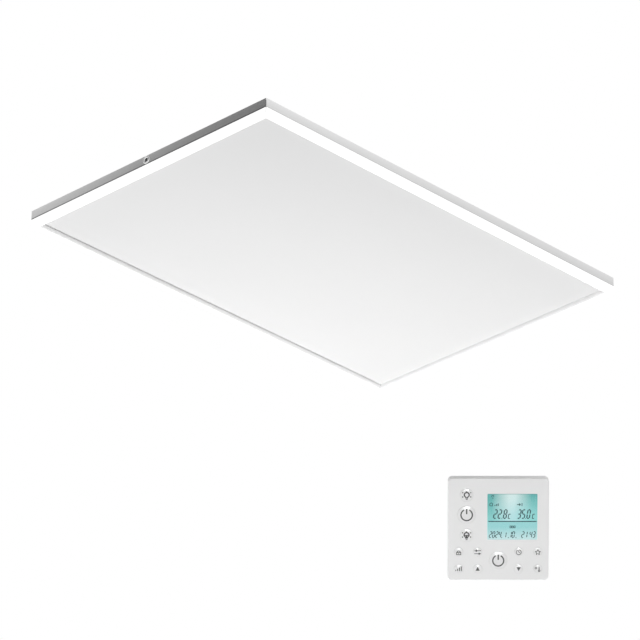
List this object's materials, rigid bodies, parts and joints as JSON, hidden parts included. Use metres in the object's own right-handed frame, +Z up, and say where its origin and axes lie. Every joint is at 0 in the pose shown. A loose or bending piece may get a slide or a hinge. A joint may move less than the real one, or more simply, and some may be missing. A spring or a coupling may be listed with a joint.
{
  "type": "infrared panel heater",
  "caption": "Flat ceiling-hung infrared heating panel with a lit white edge frame, a recessed plain warm face, rear mounting rails and a separate keypad controller with a display.",
  "frame": {"origin": "middle of the ceiling plane that the crowns of the two mounting rails bear on; the panel hangs below it with its warm face down", "axes": "+X along the panel's long side, away from the end with the cable bush; +Y along its short side; +Z up, out of the ceiling rails' crowns"},
  "size_m": [0.6231, 0.4497, 0.478],
  "materials": {
    "aluminium_frame": "satin anodised, fine lines along the length",
    "opal_light_bar": "opal white diffuser, lit from inside",
    "light_strip": "white strip board with small lamps",
    "zinc_steel": "zinc coated sheet",
    "face_coating": "fine matt powder coat",
    "heating_film": "dark carbon film with two conductor bars",
    "foil": "bright foil",
    "mineral_board": "pressed mineral board",
    "bush_metal": "nickel plated",
    "terminal_plastic": "light moulded plastic",
    "module_plastic": "dark moulded plastic",
    "lead_red": "silicone sleeve",
    "lead_black": "silicone sleeve",
    "control_shell": "light grey satin plastic",
    "control_window": "clear pane",
    "display": "backlit teal display",
    "circuit_board": "green board",
    "cell_metal": "plain cell can",
    "control_key": "light grey satin cap with a printed mark"
  },
  "bodies": {
    "panel_and_shells": {"rail_front": "aluminium_frame", "rail_right": "aluminium_frame", "rail_rear": "aluminium_frame", "rail_left": "aluminium_frame", "light_bar_front": "opal_light_bar", "light_bar_right": "opal_light_bar", "light_bar_rear": "opal_light_bar", "light_bar_left": "opal_light_bar", "light_strip_front": "light_strip", "light_strip_right": "light_strip", "light_strip_rear": "light_strip", "light_strip_left": "light_strip", "corner_key_front_left": "zinc_steel", "corner_key_front_right": "zinc_steel", "corner_key_rear_left": "zinc_steel", "corner_key_rear_right": "zinc_steel", "rear_cover": "zinc_steel", "ceiling_rail_left": "zinc_steel", "ceiling_rail_right": "zinc_steel", "bay_wall": "zinc_steel", "face_tray": "face_coating", "heating_film": "heating_film", "reflector_foil": "foil", "insulation_board": "mineral_board", "bay_floor": "mineral_board", "cable_bush": "bush_metal", "bush_nut": "bush_metal", "earth_stud": "bush_metal", "terminal_block": "terminal_plastic", "light_driver": "terminal_plastic", "receiver_module": "module_plastic", "thermal_cutout_1": "module_plastic", "thermal_cutout_2": "module_plastic", "cell_holder": "module_plastic", "heater_lead_live": "lead_red", "heater_lead_neutral": "lead_black", "control_front": "control_shell", "control_rear": "control_shell", "display_window": "control_window", "display_module": "display", "control_board": "circuit_board", "coin_cell_1": "cell_metal", "coin_cell_2": "cell_metal"},
    "battery_door": {"battery_door": "control_shell"},
    "key_light_on": {"key_light_on": "control_key"},
    "key_mode": {"key_mode": "control_key"},
    "key_light_off": {"key_light_off": "control_key"},
    "key_lock": {"key_lock": "control_key"},
    "key_program": {"key_program": "control_key"},
    "key_timer": {"key_timer": "control_key"},
    "key_night": {"key_night": "control_key"},
    "key_menu": {"key_menu": "control_key"},
    "key_up": {"key_up": "control_key"},
    "key_down": {"key_down": "control_key"},
    "key_degree": {"key_degree": "control_key"},
    "key_power": {"key_power": "control_key"}
  },
  "joints": [
    {"name": "key_light_on_press", "type": "slide", "parent": "panel_and_shells", "child": "key_light_on", "axis": [0.5837, 0.5587, 0.5892], "range_m": [0, 0.0005], "stiffness_N_per_m": 300, "springref_m": -0.0005},
    {"name": "key_mode_press", "type": "slide", "parent": "panel_and_shells", "child": "key_mode", "axis": [0.5837, 0.5587, 0.5892], "range_m": [0, 0.0005], "stiffness_N_per_m": 300, "springref_m": -0.0005},
    {"name": "key_light_off_press", "type": "slide", "parent": "panel_and_shells", "child": "key_light_off", "axis": [0.5837, 0.5587, 0.5892], "range_m": [0, 0.0005], "stiffness_N_per_m": 300, "springref_m": -0.0005},
    {"name": "key_lock_press", "type": "slide", "parent": "panel_and_shells", "child": "key_lock", "axis": [0.5837, 0.5587, 0.5892], "range_m": [0, 0.0005], "stiffness_N_per_m": 300, "springref_m": -0.0005},
    {"name": "key_program_press", "type": "slide", "parent": "panel_and_shells", "child": "key_program", "axis": [0.5837, 0.5587, 0.5892], "range_m": [0, 0.0005], "stiffness_N_per_m": 300, "springref_m": -0.0005},
    {"name": "key_timer_press", "type": "slide", "parent": "panel_and_shells", "child": "key_timer", "axis": [0.5837, 0.5587, 0.5892], "range_m": [0, 0.0005], "stiffness_N_per_m": 300, "springref_m": -0.0005},
    {"name": "key_night_press", "type": "slide", "parent": "panel_and_shells", "child": "key_night", "axis": [0.5837, 0.5587, 0.5892], "range_m": [0, 0.0005], "stiffness_N_per_m": 300, "springref_m": -0.0005},
    {"name": "key_menu_press", "type": "slide", "parent": "panel_and_shells", "child": "key_menu", "axis": [0.5837, 0.5587, 0.5892], "range_m": [0, 0.0005], "stiffness_N_per_m": 300, "springref_m": -0.0005},
    {"name": "key_up_press", "type": "slide", "parent": "panel_and_shells", "child": "key_up", "axis": [0.5837, 0.5587, 0.5892], "range_m": [0, 0.0005], "stiffness_N_per_m": 300, "springref_m": -0.0005},
    {"name": "key_down_press", "type": "slide", "parent": "panel_and_shells", "child": "key_down", "axis": [0.5837, 0.5587, 0.5892], "range_m": [0, 0.0005], "stiffness_N_per_m": 300, "springref_m": -0.0005},
    {"name": "key_degree_press", "type": "slide", "parent": "panel_and_shells", "child": "key_degree", "axis": [0.5837, 0.5587, 0.5892], "range_m": [0, 0.0005], "stiffness_N_per_m": 300, "springref_m": -0.0005},
    {"name": "key_power_press", "type": "slide", "parent": "panel_and_shells", "child": "key_power", "axis": [0.5837, 0.5587, 0.5892], "range_m": [0, 0.0005], "stiffness_N_per_m": 300, "springref_m": -0.0005},
    {"name": "battery_door_slide", "type": "slide", "parent": "panel_and_shells", "child": "battery_door", "axis": [0.4256, 0.4074, -0.808], "range_m": [0, 0.05]}
  ]
}
